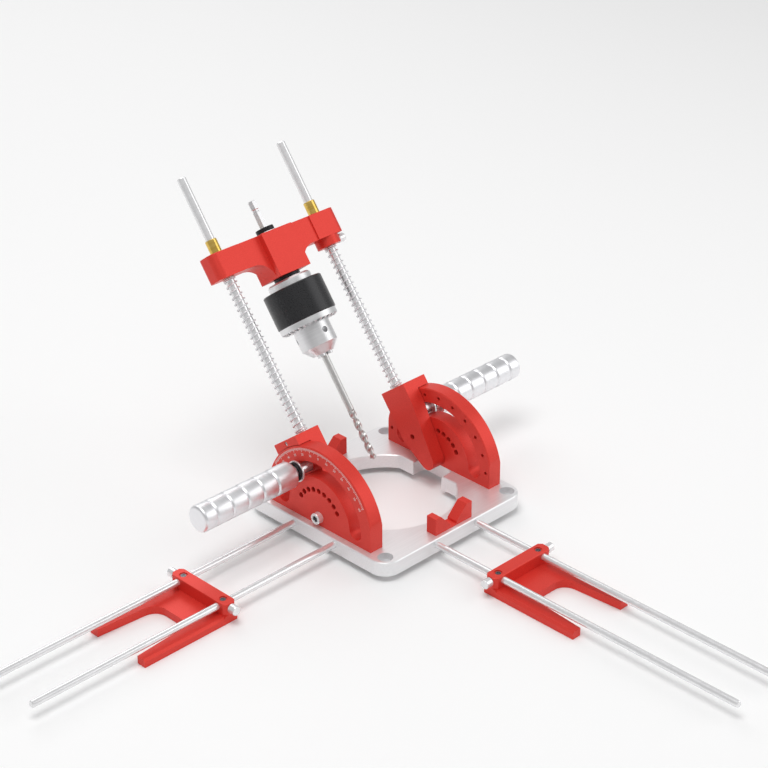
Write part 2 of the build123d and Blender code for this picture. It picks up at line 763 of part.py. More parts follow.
# Chuck body: a rear disc, a core with a groove for the nut, and a nose with three key holes; three
# slanted bores for the jaws meet the bore for the drill bit
with BuildPart() as chuck_body:
    with BuildSketch(facing_front):
        with BuildLine():
            Polyline(
                (0, nose_tip),
                (nose_tip_r, nose_tip),
                (chuck_body_r - chuck_edge_break, nose_shoulder),
                (chuck_body_r, nose_shoulder + chuck_edge_break),
                (chuck_body_r, nut_bottom - running_clearance),
                (nut_groove_r, nut_bottom - running_clearance),
                (nut_groove_r, nut_top + running_clearance),
                (chuck_body_r, nut_top + running_clearance),
                (chuck_body_r, sleeve_top + running_clearance),
                (chuck_disc_r, sleeve_top + running_clearance),
                (chuck_disc_r, lower_flange_bottom - chuck_edge_break),
                (chuck_disc_r - chuck_edge_break, lower_flange_bottom),
                (0, lower_flange_bottom),
                close=True,
            )
        make_face()
    revolve(axis=spindle_axis)
    with BuildSketch(across_rods.offset(spindle_bottom)):
        Circle(spindle_r)
    extrude(amount=lower_flange_bottom - spindle_bottom, mode=Mode.SUBTRACT)
    with BuildSketch(across_rods.offset(nose_tip)):
        Circle(bit_r)
    extrude(amount=bit_bore_top - nose_tip, mode=Mode.SUBTRACT)
    for jaw_number in range(3):
        with BuildSketch(jaw_plane(jaw_number)):
            Circle(jaw_r + running_clearance)
        extrude(amount=jaw_top + jaw_opening_travel + jaw_bore_spare - jaw_bottom, mode=Mode.SUBTRACT)
        with BuildSketch(key_hole_plane(jaw_number)):
            Circle(key_hole_r)
        extrude(amount=-key_hole_depth, mode=Mode.SUBTRACT)
chuck_body.part.label = "chuck_body"
export_step(chuck_body.part, "parts/chuck_body.step")

# Chuck sleeve: a plain black cylinder that turns round the body to open and close the jaws
with BuildPart() as chuck_sleeve:
    with BuildSketch(across_rods.offset(sleeve_bottom)):
        Circle(sleeve_r)
        Circle(sleeve_bore_r, mode=Mode.SUBTRACT)
    extrude(amount=sleeve_top - sleeve_bottom)
    sleeve_ends = chuck_sleeve.edges().filter_by(lambda edge: edge.length > 2 * pi * (sleeve_r - edge_break))
    chamfer(sleeve_ends, edge_break)
chuck_sleeve.part.label = "chuck_sleeve"
export_step(chuck_sleeve.part, "parts/chuck_sleeve.step")

# Ring gear under the sleeve: bevel teeth for a chuck key, facing the nose
with BuildPart() as chuck_ring_gear:
    with BuildSketch(facing_front):
        with BuildLine():
            Polyline(
                (sleeve_bore_r, gear_bottom),
                (gear_r - gear_tooth_depth, gear_bottom),
                (gear_r, gear_bottom + gear_tooth_depth / 2),
                (gear_r, sleeve_bottom),
                (sleeve_bore_r, sleeve_bottom),
                close=True,
            )
        make_face()
    revolve(axis=spindle_axis)
    for tooth in range(gear_tooth_count):
        with BuildSketch(gear_gap_plane(360 * tooth / gear_tooth_count)):
            Trapezoid(gear_gap_width, gear_tooth_depth, gear_gap_side_angle)
        extrude(amount=-gear_gap_length, mode=Mode.SUBTRACT)
chuck_ring_gear.part.label = "chuck_ring_gear"
export_step(chuck_ring_gear.part, "parts/chuck_ring_gear.step")

# Chuck nut: the threaded ring, pressed in the sleeve, that drives the jaws along their bores
with BuildPart() as chuck_nut:
    with BuildSketch(across_rods.offset(nut_bottom)):
        Circle(sleeve_bore_r)
        Circle(nut_groove_r + running_clearance, mode=Mode.SUBTRACT)
    extrude(amount=nut_top - nut_bottom)
chuck_nut.part.label = "chuck_nut"
export_step(chuck_nut.part, "parts/chuck_nut.step")

# Jaws: three slanted round bars, each ground to a flat that grips the bit and a flat for the nut
for jaw_number in range(3):
    with BuildPart() as jaw:
        with BuildSketch(jaw_plane(jaw_number)):
            Circle(jaw_r)
        extrude(amount=jaw_top - jaw_bottom)
        with BuildSketch(across_rods.offset(jaw_flat_bottom)):
            with PolarLocations(0, 1, start_angle=jaw_turn(jaw_number)):
                with Locations(((bit_r + running_clearance + nut_groove_r - jaw_nut_gap) / 2, 0)):
                    Rectangle(nut_groove_r - jaw_nut_gap - bit_r - running_clearance, 2 * jaw_r)
        extrude(amount=jaw_flat_top - jaw_flat_bottom, mode=Mode.INTERSECT)
    jaw.part.label = f"chuck_jaw_{jaw_number + 1}"
    export_step(jaw.part, f"parts/chuck_jaw_{jaw_number + 1}.step")

# Drill bit: a plain shank above two helical flutes, lofted through turned sections, and a point
flute_bottom = bit_tip + bit_point_height
flute_steps = round((flute_top - flute_bottom) / flute_pitch * 360 / flute_turn_step)
with BuildPart() as drill_bit:
    for step in range(flute_steps + 1):
        with BuildSketch(across_rods.offset(flute_bottom + (flute_top - flute_bottom) * step / flute_steps)):
            with BuildLine():
                Polyline(*flute_section(step * flute_turn_step), close=True)
            make_face()
    loft(ruled=True)
    with BuildSketch(across_rods.offset(flute_top)):
        Circle(bit_r)
    extrude(amount=bit_tail - flute_top)
    with BuildSketch(across_rods.offset(flute_bottom)) as point_base:
        with BuildLine():
            Polyline(*flute_section(0), close=True)
        make_face()
    with BuildSketch(across_rods.offset(bit_tip)) as point_end:
        with BuildLine():
            Polyline(*[(bit_chisel_share * x, bit_chisel_share * y) for x, y in flute_section(0)], close=True)
        make_face()
    loft([point_base.sketch, point_end.sketch], ruled=True)
drill_bit.part.label = "drill_bit"
export_step(drill_bit.part, "parts/drill_bit.step")

# Depth stop: a collar on the right guide rod, clamped by a thumb screw
with BuildPart() as depth_stop:
    with BuildSketch(across_rods.offset(stop_bottom)):
        with Locations((rod_x, 0)):
            Circle(stop_r)
            Circle(rod_r + running_clearance, mode=Mode.SUBTRACT)
    extrude(amount=lobe_bottom - stop_gap - stop_bottom)
    with BuildSketch(leaning_side(1, rod_x)):
        with Locations((0, stop_screw_height)):
            Circle(thumb_shank_r + running_clearance)
    extrude(amount=stop_r, mode=Mode.SUBTRACT)
depth_stop.part.label = "depth_stop"
export_step(depth_stop.part, "parts/depth_stop.step")

# Fences: a crossbar that slides on its two rods, over a forked plate that reaches outwards
fences = (
    ("left_fence", (fence_left_x, 0, 0), (-1, 0, 0)),
    ("front_fence", (0, fence_front_y, 0), (0, -1, 0)),
)
stop_screw_plane = Plane(
    origin=across_rods.from_local_coords(Vector(rod_x, 0, stop_screw_height)), z_dir=(1, 0, 0)
)
stop_screw_ends = (rod_r + running_clearance, stop_r + running_clearance)
thumb_screws = [("depth_stop_screw", stop_screw_plane, *stop_screw_ends)]
for fence_name, face_centre, outwards in fences:
    ground = Plane(origin=face_centre, x_dir=outwards, z_dir=(0, 0, 1))
    inner_face = Plane(origin=face_centre, x_dir=ground.y_dir, z_dir=outwards)
    with BuildPart() as fence:
        with BuildSketch(ground.offset(fence_plate_bottom)) as fork:
            with Locations((fence_reach / 2, 0)):
                Rectangle(fence_reach, 2 * fence_half_width)
            with BuildLine():
                Polyline(
                    (fork_root, -fork_root_half_width),
                    (fork_root, fork_root_half_width),
                    (fence_reach, fork_end_half_width),
                    (fence_reach, -fork_end_half_width),
                    close=True,
                )
            make_face(mode=Mode.SUBTRACT)
            fillet(fork.vertices().group_by(Axis.X)[1], fork_corner_r)
        extrude(amount=fence_plate_top - fence_plate_bottom)
        with BuildSketch(inner_face.offset(crossbar_depth)):
            with Locations((-fence_half_width, fence_plate_top), (fence_half_width, fence_plate_top)):
                RegularPolygon(tine_edge_cut, 4)
        extrude(amount=fence_reach - crossbar_depth, mode=Mode.SUBTRACT)
        with BuildSketch(ground.offset(fence_plate_top)) as bar_outline:
            with Locations((crossbar_depth / 2, 0)):
                Rectangle(crossbar_depth, 2 * fence_half_width)
            chamfer(bar_outline.vertices(), bar_corner_cut)
        extrude(amount=crossbar_top - fence_plate_top)
        chamfer(fence.edges().group_by(Axis.Z)[-1], edge_break / 2)
        with BuildSketch(inner_face):
            with Locations((-edge_rod_offset, edge_rod_height), (edge_rod_offset, edge_rod_height)):
                Circle(edge_rod_r + running_clearance)
        extrude(amount=crossbar_depth, mode=Mode.SUBTRACT)
        for turn in (-1, 1):
            bar_end = Plane(
                origin=ground.from_local_coords(
                    Vector(crossbar_depth / 2, turn * fence_half_width, edge_rod_height)
                ),
                z_dir=ground.y_dir * turn,
            )
            with BuildSketch(bar_end):
                Circle(thumb_shank_r + running_clearance)
            extrude(amount=edge_rod_offset - fence_half_width, mode=Mode.SUBTRACT)
            screw_name = f"{fence_name}_screw_{1 if turn < 0 else 2}"
            shank_start = edge_rod_offset + edge_rod_r - fence_half_width + running_clearance
            thumb_screws.append((screw_name, bar_end, shank_start, running_clearance))
        with BuildSketch(ground.offset(edge_rod_height)):
            with Locations((crossbar_depth / 2, -edge_rod_offset), (crossbar_depth / 2, edge_rod_offset)):
                Circle(bar_screw_r)
        extrude(amount=crossbar_top - edge_rod_height, mode=Mode.SUBTRACT)
        with BuildSketch(ground.offset(bar_screw_sink_floor)):
            with Locations((crossbar_depth / 2, -edge_rod_offset), (crossbar_depth / 2, edge_rod_offset)):
                Circle(bar_screw_sink_r)
        extrude(amount=crossbar_top - bar_screw_sink_floor, mode=Mode.SUBTRACT)
    fence.part.label = fence_name
    export_step(fence.part, f"parts/{fence_name}.step")

    bar_screw_bottom = edge_rod_height + edge_rod_r + running_clearance
    with BuildPart() as bar_screws:
        with BuildSketch(ground.offset(bar_screw_bottom)):
            with Locations((crossbar_depth / 2, -edge_rod_offset), (crossbar_depth / 2, edge_rod_offset)):
                Circle(bar_screw_r)
        extrude(amount=bar_screw_top - bar_screw_bottom)
        with BuildSketch(ground.offset(bar_screw_sink_floor)):
            with Locations((crossbar_depth / 2, -edge_rod_offset), (crossbar_depth / 2, edge_rod_offset)):
                RegularPolygon(bar_screw_r * socket_share, 6)
        extrude(amount=bar_screw_top - bar_screw_sink_floor, mode=Mode.SUBTRACT)
    bar_screws.part.label = f"{fence_name}_bar_screws"
    export_step(bar_screws.part, f"parts/{fence_name}_bar_screws.step")

# Thumb screws: a plain round head on a shank, four on the fences and one on the depth stop
for screw_name, screw_plane, shank_start, head_start in thumb_screws:
    with BuildPart() as thumb_screw:
        with BuildSketch(screw_plane.offset(shank_start)):
            Circle(thumb_shank_r)
        extrude(amount=head_start - shank_start)
        with BuildSketch(screw_plane.offset(head_start)):
            Circle(thumb_head_r)
        extrude(amount=thumb_head_length)
        round_edges = thumb_screw.edges().filter_by(GeomType.CIRCLE)
        chamfer(round_edges.group_by(SortBy.RADIUS)[-1], edge_break / 2)
    thumb_screw.part.label = screw_name
    export_step(thumb_screw.part, f"parts/{screw_name}.step")
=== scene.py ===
import json
from math import atan2, cos, pi, radians, sin

import bmesh
import bpy
from mathutils import Matrix, Vector


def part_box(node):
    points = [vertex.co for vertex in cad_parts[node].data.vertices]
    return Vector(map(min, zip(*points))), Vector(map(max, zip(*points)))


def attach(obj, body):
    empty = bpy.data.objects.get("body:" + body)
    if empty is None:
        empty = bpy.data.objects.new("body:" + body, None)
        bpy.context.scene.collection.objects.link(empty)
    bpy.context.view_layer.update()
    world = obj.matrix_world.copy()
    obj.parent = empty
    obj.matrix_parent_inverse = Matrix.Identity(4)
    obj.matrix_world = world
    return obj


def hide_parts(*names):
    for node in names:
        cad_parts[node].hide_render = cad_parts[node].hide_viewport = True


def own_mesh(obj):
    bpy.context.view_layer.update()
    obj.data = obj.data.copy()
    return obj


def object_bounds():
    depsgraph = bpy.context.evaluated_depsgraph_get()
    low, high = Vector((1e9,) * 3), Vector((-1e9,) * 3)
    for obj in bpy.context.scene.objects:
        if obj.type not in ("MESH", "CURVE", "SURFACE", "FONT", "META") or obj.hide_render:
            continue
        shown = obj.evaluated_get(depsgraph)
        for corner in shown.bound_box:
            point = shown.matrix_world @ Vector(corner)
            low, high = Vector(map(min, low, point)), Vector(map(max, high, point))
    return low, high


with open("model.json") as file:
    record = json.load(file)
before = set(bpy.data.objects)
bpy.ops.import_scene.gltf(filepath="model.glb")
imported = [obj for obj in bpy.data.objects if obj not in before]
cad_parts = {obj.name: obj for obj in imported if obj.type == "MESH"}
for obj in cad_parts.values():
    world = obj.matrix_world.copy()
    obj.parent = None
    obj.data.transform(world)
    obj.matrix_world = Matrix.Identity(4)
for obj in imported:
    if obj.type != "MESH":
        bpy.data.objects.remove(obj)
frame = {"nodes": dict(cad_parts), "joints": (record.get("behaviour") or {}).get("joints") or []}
cad_low, cad_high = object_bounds()
nodes = frame["nodes"]
joints = {joint["name"]: joint for joint in frame["joints"]}
mm = 0.001

# Base plate
# A square of cast aluminium tool plate with a round window, milled and then polished on a belt from
# side to side, which leaves a satin sheen. Its edges are broken, so each catches a thin line of light.
colour_span = (0.35, 0.65)
roughness_span = (0.3, 0.7)


def shader_of(material):
    """The material's Principled shader."""
    return material.node_tree.nodes["Principled BSDF"]


def new_material(name, colour, metallic, roughness):
    """A Principled material whose colour, metal and roughness are set on the shader's own sockets."""
    material = bpy.data.materials.new(name)
    material.use_nodes = True
    shader = shader_of(material)
    shader.inputs["Base Color"].default_value = colour
    shader.inputs["Metallic"].default_value = metallic
    shader.inputs["Roughness"].default_value = roughness
    return material


def grain_field(material, grain_mm, tilt):
    """A noise field on object coordinates, with the size of its grain in mm along each axis.

    tilt turns the field about X, so that it lies along the leaning rods instead of upright."""
    tree = material.node_tree
    place = tree.nodes.new("ShaderNodeTexCoord")
    mapping = tree.nodes.new("ShaderNodeMapping")
    mapping.vector_type = "TEXTURE"
    mapping.inputs["Scale"].default_value = [size * mm for size in grain_mm]
    mapping.inputs["Rotation"].default_value = (tilt, 0.0, 0.0)
    noise = tree.nodes.new("ShaderNodeTexNoise")
    noise.inputs["Scale"].default_value = 1.0
    noise.inputs["Detail"].default_value = 3.0
    tree.links.new(place.outputs["Object"], mapping.inputs["Vector"])
    tree.links.new(mapping.outputs["Vector"], noise.inputs["Vector"])
    return noise.outputs["Fac"]


def vary_colour(material, field, dark, light):
    """The base colour drifts between two close shades over the middle stretch of the field."""
    tree = material.node_tree
    ramp = tree.nodes.new("ShaderNodeValToRGB")
    for stop, position, shade in zip(ramp.color_ramp.elements, colour_span, (dark, light)):
        stop.position = position
        stop.color = shade
    tree.links.new(field, ramp.inputs["Fac"])
    tree.links.new(ramp.outputs["Color"], shader_of(material).inputs["Base Color"])


def vary_roughness(material, field, low, high):
    """The roughness drifts between two values over the middle stretch of the field."""
    tree = material.node_tree
    spread = tree.nodes.new("ShaderNodeMapRange")
    spread.inputs["From Min"].default_value = roughness_span[0]
    spread.inputs["From Max"].default_value = roughness_span[1]
    spread.inputs["To Min"].default_value = low
    spread.inputs["To Max"].default_value = high
    tree.links.new(field, spread.inputs["Value"])
    tree.links.new(spread.outputs["Result"], shader_of(material).inputs["Roughness"])


def raise_grain(material, field, depth_mm, strength):
    """A fine relief on the surface, from the same field."""
    tree = material.node_tree
    bump = tree.nodes.new("ShaderNodeBump")
    bump.inputs["Strength"].default_value = strength
    bump.inputs["Distance"].default_value = depth_mm * mm
    tree.links.new(field, bump.inputs["Height"])
    tree.links.new(bump.outputs["Normal"], shader_of(material).inputs["Normal"])


def grained_material(
    name,
    colour,
    metallic,
    roughness,
    grain_mm,
    dark,
    light,
    roughness_range=None,
    relief_mm=0.0,
    relief_strength=0.0,
    tilt=0.0,
):
    """A material whose colour, and where asked for its roughness and relief, follow one grain."""
    material = new_material(name, colour, metallic, roughness)
    field = grain_field(material, grain_mm, tilt)
    vary_colour(material, field, dark, light)
    if roughness_range:
        vary_roughness(material, field, *roughness_range)
    if relief_mm:
        raise_grain(material, field, relief_mm, relief_strength)
    return material


plate_metal = grained_material(
    "polished_plate",
    colour=(0.87, 0.87, 0.88, 1.0),
    metallic=0.65,
    roughness=0.4,
    grain_mm=(45.0, 1.4, 1.4),
    dark=(0.83, 0.83, 0.84, 1.0),
    light=(0.87, 0.87, 0.88, 1.0),
    roughness_range=(0.36, 0.44),
    relief_mm=0.02,
    relief_strength=0.03,
)
weld_mm = 0.002
flat_degrees = 0.6
corner_degrees = 36
strong_face_weight = 100


def finish_piece(name, shape, body, material, sharp_degrees=32.0):
    """Turns a finished bmesh into an object at the origin that rides on its body."""
    mesh = bpy.data.meshes.new(name)
    shape.to_mesh(mesh)
    shape.free()
    mesh.polygons.foreach_set("use_smooth", [True] * len(mesh.polygons))
    mesh.set_sharp_from_angle(angle=radians(sharp_degrees))
    mesh.materials.append(material)
    piece = bpy.data.objects.new(name, mesh)
    bpy.context.scene.collection.objects.link(piece)
    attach(piece, body)
    return piece


def weigh_normals(piece, label):
    """Lets a piece's large faces lead the shading, so that they stay even up to a rounded edge."""
    modifier = piece.modifiers.new(label, "WEIGHTED_NORMAL")
    modifier.weight = strong_face_weight
    modifier.keep_sharp = True


def machined_copy(node, body, material, edge_mm, steps=2):
    """A merged copy of a CAD node, with its flat faces joined up and its sharp edges rounded."""
    shape = bmesh.new()
    shape.from_mesh(nodes[node].data)
    bmesh.ops.remove_doubles(shape, verts=shape.verts, dist=weld_mm * mm)
    bmesh.ops.dissolve_limit(
        shape, angle_limit=radians(flat_degrees), verts=shape.verts, edges=shape.edges
    )
    sharp = radians(corner_degrees)
    corners = [e for e in shape.edges if len(e.link_faces) == 2 and e.calc_face_angle() > sharp]
    bmesh.ops.bevel(
        shape,
        geom=corners,
        offset=edge_mm * mm,
        offset_type="OFFSET",
        segments=steps,
        profile=0.5,
        affect="EDGES",
        clamp_overlap=True,
        material=-1,
    )
    piece = finish_piece(f"{node}_machined", shape, body, material)
    weigh_normals(piece, "flat_faces")
    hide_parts(node)
    return piece


machined_copy("base_plate", "root", plate_metal, edge_mm=0.35)

# Edge rods
# Two pairs of 6 mm ground and chromed steel rods, pushed into blind holes in the plate's left
# and front edges, on which the fences slide. Each end has a small turned chamfer.
rod_metal = grained_material(
    "chromed_rod",
    colour=(0.86, 0.86, 0.87, 1.0),
    metallic=0.6,
    roughness=0.22,
    grain_mm=(6.0, 6.0, 6.0),
    dark=(0.83, 0.83, 0.84, 1.0),
    light=(0.88, 0.88, 0.89, 1.0),
    roughness_range=(0.19, 0.23),
)
seam_gap_m = 1e-7
sliver_m = 1e-8


def turned_shape(outline, facets):
    """A lathe-turned solid round Z: outline is (radius, height) in mm, from one end to the other."""
    shape = bmesh.new()
    points = [shape.verts.new((radius * mm, 0, height * mm)) for radius, height in outline]
    lines = [shape.edges.new(pair) for pair in zip(points, points[1:])]
    bmesh.ops.spin(
        shape,
        geom=points + lines,
        cent=(0, 0, 0),
        axis=(0, 0, 1),
        angle=2 * pi,
        steps=facets,
        use_merge=True,
    )
    bmesh.ops.remove_doubles(shape, verts=shape.verts, dist=seam_gap_m)
    bmesh.ops.dissolve_degenerate(shape, edges=shape.edges, dist=sliver_m)
    bmesh.ops.recalc_face_normals(shape, faces=shape.faces)
    return shape


def turned_ring(bore, outer, bottom, top, break_mm):
    """The outline of a plain ring with both outer and inner edges broken."""
    return [
        (bore, bottom + break_mm),
        (bore + break_mm, bottom),
        (outer - break_mm, bottom),
        (outer, bottom + break_mm),
        (outer, top - break_mm),
        (outer - break_mm, top),
        (bore + break_mm, top),
        (bore, top - break_mm),
        (bore, bottom + break_mm),
    ]


def turned_bar(radius, bottom, top, break_mm):
    """The outline of a plain solid bar with broken ends."""
    return [
        (0, bottom),
        (radius - break_mm, bottom),
        (radius, bottom + break_mm),
        (radius, top - break_mm),
        (radius - break_mm, top),
        (0, top),
    ]


def half_width(node, axis):
    """Half the width of a CAD node along "x", "y" or "z" in mm, which is a round piece's radius."""
    low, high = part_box(node)
    return (getattr(high, axis) - getattr(low, axis)) / 2 / mm


def standing_at(origin, along):
    """The placing matrix that turns Z into the given direction and moves the foot to origin."""
    return Matrix.Translation(origin) @ Vector(along).to_track_quat("Z", "Y").to_matrix().to_4x4()


edge_rod_break = 0.5
leftwards = Vector((-1, 0, 0))
forwards = Vector((0, -1, 0))
for node, along in (
    ("left_edge_rod_front", leftwards),
    ("left_edge_rod_rear", leftwards),
    ("front_edge_rod_left", forwards),
    ("front_edge_rod_right", forwards),
):
    rod_low, rod_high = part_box(node)
    rod_centre = (rod_low + rod_high) / 2
    rod_length = max(rod_high - rod_low) / mm
    outline = turned_bar(half_width(node, "z"), -rod_length / 2, rod_length / 2, edge_rod_break)
    rod = turned_shape(outline, facets=40)
    bmesh.ops.transform(rod, matrix=standing_at(rod_centre, along), verts=rod.verts)
    piece = finish_piece(f"{node}_ground", rod, "root", rod_metal)
    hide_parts(node)

# Screws under the plate
# Zinc-plated socket screws for the protractors and V blocks, and small grub screws on the rods.
# They sit in holes on the underside and are only seen when the guide is turned over.
screw_metal = grained_material(
    "zinc_plated",
    colour=(0.46, 0.46, 0.48, 1.0),
    metallic=1.0,
    roughness=0.3,
    grain_mm=(1.0, 1.0, 1.0),
    dark=(0.40, 0.40, 0.42, 1.0),
    light=(0.52, 0.52, 0.55, 1.0),
    roughness_range=(0.24, 0.4),
)
for node in ("edge_rod_grub_screws", "protractor_screws", "v_block_screws"):
    machined_copy(node, "root", screw_metal, edge_mm=0.15, steps=1)

# V blocks
# Two small blocks of red anodised aluminium with a right-angled V and a relief slot at its root,
# which hold round stock in line with the drill. They are screwed down from below.
red_light = (0.78, 0.058, 0.042, 1.0)
red_sheen = 0.3
red_finish = grained_material(
    "red_anodised",
    colour=red_light,
    metallic=0.3,
    roughness=0.38,
    grain_mm=(0.5, 0.5, 0.5),
    dark=(0.68, 0.042, 0.030, 1.0),
    light=red_light,
    relief_mm=0.01,
    relief_strength=0.15,
)
shader_of(red_finish).inputs["Specular IOR Level"].default_value = red_sheen
for node in ("front_v_block", "rear_v_block"):
    machined_copy(node, "root", red_finish, edge_mm=0.3)

# Protractors
# Two upright side plates cut from thick aluminium bar and anodised red, each with an arc slot for
# the clamp stud and a ring of index holes. The outer face carries a filled white scale.
for side_name in ("left", "right"):
    machined_copy(f"{side_name}_protractor", "root", red_finish, edge_mm=0.3)

# Scales
# Graduations every degree and plain numbers every ten, engraved in the protractors' outer faces
# and filled with white paint. They read the tilt from upright, to 60 degrees each way.
pivot = Vector(joints["tilt"]["pos_m"])
white_paint = grained_material(
    "white_paint",
    colour=(0.86, 0.84, 0.82, 1.0),
    metallic=0.0,
    roughness=0.5,
    grain_mm=(0.6, 0.6, 0.6),
    dark=(0.78, 0.75, 0.73, 1.0),
    light=(0.92, 0.91, 0.90, 1.0),
)
scale_reach = 60
number_step = 10
tick_outer = 61.2
tick_width = 0.28
tick_lengths = {0: 3.4, 5: 2.7}
short_tick = 1.9
paint_thickness = 0.1
paint_middle = paint_thickness / 2
digit_height = 3.0
digit_ring = 55.4


def add_digits(shape, text, place):
    """Plain digits as flat faces, centred on the placing matrix."""
    letters = bpy.data.curves.new("digits", "FONT")
    letters.body = text
    letters.size = digit_height * mm
    letters.align_x = "CENTER"
    letters.align_y = "CENTER"
    holder = bpy.data.objects.new("digits", letters)
    outline = holder.to_mesh()
    outline.transform(place)
    shape.from_mesh(outline)
    holder.to_mesh_clear()
    bpy.data.objects.remove(holder)
    bpy.data.curves.remove(letters)


for side_name, side in (("left", -1), ("right", 1)):
    face_low, face_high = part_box(f"{side_name}_protractor")
    face_x = face_high.x if side > 0 else face_low.x
    scale = bmesh.new()
    centre = Matrix.Translation((face_x + side * paint_middle * mm, pivot.y, pivot.z))
    outward_face = Matrix(((0, 0, side), (side, 0, 0), (0, 1, 0))).to_4x4()
    for degree in range(-scale_reach, scale_reach + 1):
        tick_length = tick_lengths.get(degree % number_step, short_tick)
        spoke = centre @ outward_face @ Matrix.Rotation(radians(degree), 4, "Z")
        size = Matrix.Diagonal((tick_width * mm, tick_length * mm, paint_thickness * mm, 1))
        middle = Matrix.Translation((0, (tick_outer - tick_length / 2) * mm, 0))
        bmesh.ops.create_cube(scale, size=1.0, matrix=spoke @ middle @ size)
        if degree % number_step == 0:
            on_the_paint = Matrix.Translation((0, digit_ring * mm, paint_middle * mm))
            add_digits(scale, str(abs(degree)), spoke @ on_the_paint)
    finish_piece(f"{side_name}_protractor_scale", scale, "root", white_paint)

# Tilting arms
# A pair of red anodised arms, fast on the axle pins and tilting with them. Each has a broad head
# that takes the foot of a guide rod, and a lip that reaches over the protractor's rim.
for side_name in ("left", "right"):
    machined_copy(f"{side_name}_arm", "tilt_frame", red_finish, edge_mm=0.35)

# Axle pins and rod screws
# Plain 10 mm steel pins, fast in the arms and free to turn in the protractors, with a hexagon
# socket in each outer end, which is darkened by a flat hexagon of painted shade sunk just inside
# it. Bright grub screws in the arms' lips hold the guide rods.
black_oxide = grained_material(
    "black_oxide",
    colour=(0.022, 0.022, 0.024, 1.0),
    metallic=0.6,
    roughness=0.34,
    grain_mm=(0.9, 0.9, 0.9),
    dark=(0.016, 0.016, 0.018, 1.0),
    light=(0.032, 0.032, 0.035, 1.0),
    roughness_range=(0.28, 0.42),
)
socket_inset = 1.0
socket_corner = 3.0
socket_fit = 0.97
for side_name in ("left", "right"):
    machined_copy(f"{side_name}_axle_pin", "tilt_frame", rod_metal, edge_mm=0.25)
    grub_screw = f"{side_name}_rod_grub_screw"
    machined_copy(grub_screw, "tilt_frame", rod_metal, edge_mm=0.2, steps=1)

up_rods = Vector(joints["carriage_slide"]["axis"]).normalized()
# Painted shade: a flat dark hexagon, sunk just inside each pin's socket, stands for the shade in the
# hole.
for side_name, side in (("left", -1), ("right", 1)):
    pin_low, pin_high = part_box(f"{side_name}_axle_pin")
    pin_end = pin_high.x if side > 0 else pin_low.x
    socket = bmesh.new()
    bmesh.ops.create_circle(socket, cap_ends=True, segments=6, radius=socket_fit * socket_corner * mm)
    sunk = Matrix.Translation((pin_end - side * socket_inset * mm, pivot.y, pivot.z))
    outwards = Vector((side, 0, 0))
    across = Matrix((up_rods.cross(outwards), up_rods, outwards)).transposed().to_4x4()
    corner_up = Matrix.Rotation(pi / 2, 4, "Z")
    bmesh.ops.transform(socket, matrix=sunk @ across @ corner_up, verts=socket.verts)
    finish_piece(f"{side_name}_axle_pin_socket_shade", socket, "tilt_frame", black_oxide)

# Guide rods
# Two 8 mm chromed steel rods, clamped in the arms' heads, on which the carriage's bushes run.
# Their tops are turned to a small chamfer so that the bushes go on without a scratch.
rod_lean = atan2(up_rods.y, up_rods.z)
guide_rod_break = 0.8
rightwards = Vector((1, 0, 0))


def reach(node, along, origin=pivot):
    """How far a CAD node reaches from origin along a direction, lowest and highest, in mm."""
    places = [(vertex.co - origin).dot(along) / mm for vertex in nodes[node].data.vertices]
    return min(places), max(places)


def middle_x(node):
    """How far right of the pivot the middle of a CAD node stands, in mm."""
    return sum(reach(node, rightwards)) / 2


def stand(shape, x_mm):
    """Moves a piece made round Z onto the leaning frame, at x from its middle."""
    foot = Matrix.Translation(pivot + Vector((x_mm * mm, 0, 0)))
    lean = Matrix.Rotation(-rod_lean, 4, "X")
    bmesh.ops.transform(shape, matrix=foot @ lean, verts=shape.verts)
    return shape


for side_name in ("left", "right"):
    node = f"{side_name}_guide_rod"
    guide_rod_radius = half_width(node, "x")
    rod_bottom, rod_top = reach(node, up_rods)
    outline = turned_bar(guide_rod_radius, rod_bottom, rod_top, guide_rod_break)
    rod = stand(turned_shape(outline, facets=48), middle_x(node))
    piece = finish_piece(f"{node}_ground", rod, "tilt_frame", rod_metal)
    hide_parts(node)

# Return springs
# One long coil of bright spring wire round each guide rod, wound close at both ends. The springs
# carry the carriage up again after each hole, and shorten as it comes down.
spring_metal = grained_material(
    "spring_wire",
    colour=(0.80, 0.80, 0.82, 1.0),
    metallic=0.6,
    roughness=0.45,
    grain_mm=(0.8, 0.8, 0.8),
    dark=(0.74, 0.74, 0.76, 1.0),
    light=(0.86, 0.86, 0.88, 1.0),
)
wire_radius = 0.55
wire_facets = 10
coil_radius = 5.1
steps_per_turn = 28
coil_pitch = 5.2
closed_turns = 1.5
closed_pitch_radii = 2.1


def coil_spring(bottom, top):
    """A round wire spun up the Z axis in three stretches: a closed end, the open coil, a closed end."""
    shape = bmesh.new()
    bmesh.ops.create_circle(shape, segments=wire_facets, radius=wire_radius * mm)
    section = shape.verts[:] + shape.edges[:]
    wire_start = Matrix.Translation((coil_radius * mm, 0, (bottom + wire_radius) * mm))
    upright = wire_start @ Matrix.Rotation(pi / 2, 4, "X")
    bmesh.ops.transform(shape, matrix=upright, verts=shape.verts)
    closed_rise = closed_turns * closed_pitch_radii * wire_radius
    open_rise = top - bottom - 2 * wire_radius - 2 * closed_rise
    open_turns = round(open_rise / coil_pitch)
    closed_end = (closed_turns, closed_rise)
    for turns, rise in (closed_end, (open_turns, open_rise), closed_end):
        steps = int(steps_per_turn * turns)
        made = bmesh.ops.spin(
            shape,
            geom=section,
            cent=(0, 0, 0),
            axis=(0, 0, 1),
            dvec=(0, 0, rise / steps * mm),
            angle=2 * pi * turns,
            steps=steps,
        )
        section = made["geom_last"]
    bmesh.ops.holes_fill(shape, edges=[e for e in shape.edges if e.is_boundary], sides=wire_facets)
    bmesh.ops.recalc_face_normals(shape, faces=shape.faces)
    return shape


